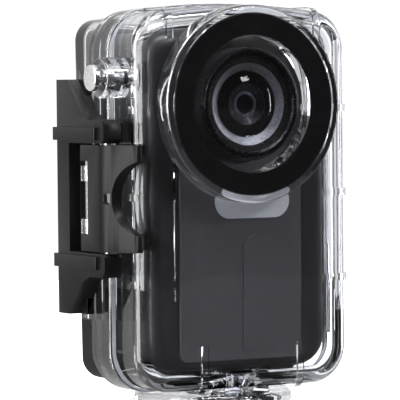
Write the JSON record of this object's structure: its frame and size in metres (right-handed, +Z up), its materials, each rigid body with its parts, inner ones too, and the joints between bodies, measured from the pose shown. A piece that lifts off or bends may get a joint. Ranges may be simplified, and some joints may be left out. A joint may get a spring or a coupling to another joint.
{
  "type": "action camera in waterproof case",
  "caption": "Small pocket action camera shut in a clear waterproof case with a round lens port, side latch, shutter plunger and tripod foot.",
  "frame": {"origin": "mouth of the tripod thread, on the underside of the foot the case stands on", "axes": "+Z up, -Y the way the lens looks, -X the latch side, +X the door hinge side"},
  "size_m": [0.0568, 0.0312, 0.0737],
  "materials": {
    "clear_case": "clear moulded polycarbonate",
    "clear_door": "clear moulded polycarbonate",
    "seal_silicone": "pale moulded silicone",
    "liner_rubber": "black moulded rubber",
    "steel_pin": "ground stainless steel",
    "bezel_black": "gloss black moulded ABS",
    "port_glass": "polished glass",
    "front_glass": "polished coated glass",
    "insert_clear": "moulded clear polycarbonate",
    "cap_metal": "polished aluminium",
    "latch_black": "fine-grained black nylon",
    "camera_black": "satin black ABS",
    "panel_grey": "satin dark grey ABS",
    "badge_silver": "satin stamped plate",
    "lens_black": "matt black anodised",
    "trim_metal": "dark anodised aluminium",
    "retainer_grey": "satin anodised aluminium",
    "iris_metal": "turned metal",
    "sensor_chip": "chip package",
    "circuit_board": "green solder mask",
    "battery_wrap": "shrink wrap",
    "contact_gold": "gold-plated spring contacts",
    "can_steel": "pressed steel",
    "screen_dark": "display panel",
    "screen_glass": "cover glass",
    "card_plastic": "memory card",
    "light_pipe": "clear light pipe"
  },
  "bodies": {
    "case": {"front_shell": "clear_case", "door_hinge_pin": "steel_pin", "port_bezel": "bezel_black", "port_window": "port_glass", "port_seal": "seal_silicone", "cradle_pads": "liner_rubber", "mount_foot": "clear_case", "tripod_insert": "insert_clear", "latch_rod": "steel_pin", "camera_front_cover": "camera_black", "camera_rear_cover": "camera_black", "camera_front_panel": "panel_grey", "badge_plate": "badge_silver", "battery_cover": "camera_black", "lens_barrel": "lens_black", "lens_trim_ring": "trim_metal", "lens_retaining_ring": "retainer_grey", "lens_front_element": "front_glass", "lens_aperture_mask": "lens_black", "lens_rear_group": "port_glass", "iris_ring": "iris_metal", "image_sensor": "sensor_chip", "sensor_board": "circuit_board", "main_board": "circuit_board", "battery": "battery_wrap", "battery_contacts": "contact_gold", "speaker": "can_steel", "microphone": "sensor_chip", "screen_panel": "screen_dark", "screen_window": "screen_glass", "key_switches": "sensor_chip", "shutter_switch": "sensor_chip", "card_socket": "can_steel", "memory_card": "card_plastic", "usb_port": "can_steel", "status_light": "light_pipe", "camera_screws": "steel_pin"},
    "door": {"rear_door": "clear_door", "door_seal": "seal_silicone", "door_liner": "liner_rubber", "door_boot": "liner_rubber"},
    "lever": {"latch_lever": "latch_black", "link_pins": "steel_pin"},
    "hook": {"latch_hook": "latch_black"},
    "plunger": {"plunger_cap": "cap_metal", "plunger_stem": "steel_pin", "plunger_ring": "liner_rubber", "plunger_clip": "steel_pin", "plunger_spring": "steel_pin"},
    "shutter": {"shutter_key": "camera_black"},
    "key_1": {"rear_key_1": "camera_black"},
    "key_2": {"rear_key_2": "camera_black"},
    "key_3": {"rear_key_3": "camera_black"},
    "key_4": {"rear_key_4": "camera_black"}
  },
  "joints": [
    {"name": "door_hinge", "type": "hinge", "parent": "case", "child": "door", "pos_m": [0.02595, 0.0069, 0.038], "axis": [0, 0, -1], "range_deg": [0, 88]},
    {"name": "lever_hinge", "type": "hinge", "parent": "case", "child": "lever", "pos_m": [-0.0257, 0.0046, 0.0385], "axis": [0, 0, -1], "range_deg": [0, 110]},
    {"name": "hook_hinge", "type": "hinge", "parent": "lever", "child": "hook", "pos_m": [-0.0256, -0.0021, 0.0385], "axis": [0, 0, 1], "range_deg": [0, 154]},
    {"name": "plunger_slide", "type": "slide", "parent": "case", "child": "plunger", "axis": [1, 0, 0], "range_m": [0, 0.0008], "stiffness_N_per_m": 500, "springref_m": -0.0006},
    {"name": "shutter_slide", "type": "slide", "parent": "case", "child": "shutter", "axis": [1, 0, 0], "range_m": [0, 0.0008], "stiffness_N_per_m": 300, "springref_m": -0.0003},
    {"name": "key_1_slide", "type": "slide", "parent": "case", "child": "key_1", "axis": [0, -1, 0], "range_m": [0, 0.0004], "stiffness_N_per_m": 800, "springref_m": -0.0003},
    {"name": "key_2_slide", "type": "slide", "parent": "case", "child": "key_2", "axis": [0, -1, 0], "range_m": [0, 0.0004], "stiffness_N_per_m": 800, "springref_m": -0.0003},
    {"name": "key_3_slide", "type": "slide", "parent": "case", "child": "key_3", "axis": [0, -1, 0], "range_m": [0, 0.0004], "stiffness_N_per_m": 800, "springref_m": -0.0003},
    {"name": "key_4_slide", "type": "slide", "parent": "case", "child": "key_4", "axis": [0, -1, 0], "range_m": [0, 0.0004], "stiffness_N_per_m": 800, "springref_m": -0.0003}
  ],
  "couplings": [
    {"joint": "lever_hinge", "follows": "door_hinge", "ratio": 1.25},
    {"joint": "hook_hinge", "follows": "door_hinge", "ratio": 1.75},
    {"joint": "shutter_slide", "follows": "plunger_slide", "ratio": 1}
  ]
}
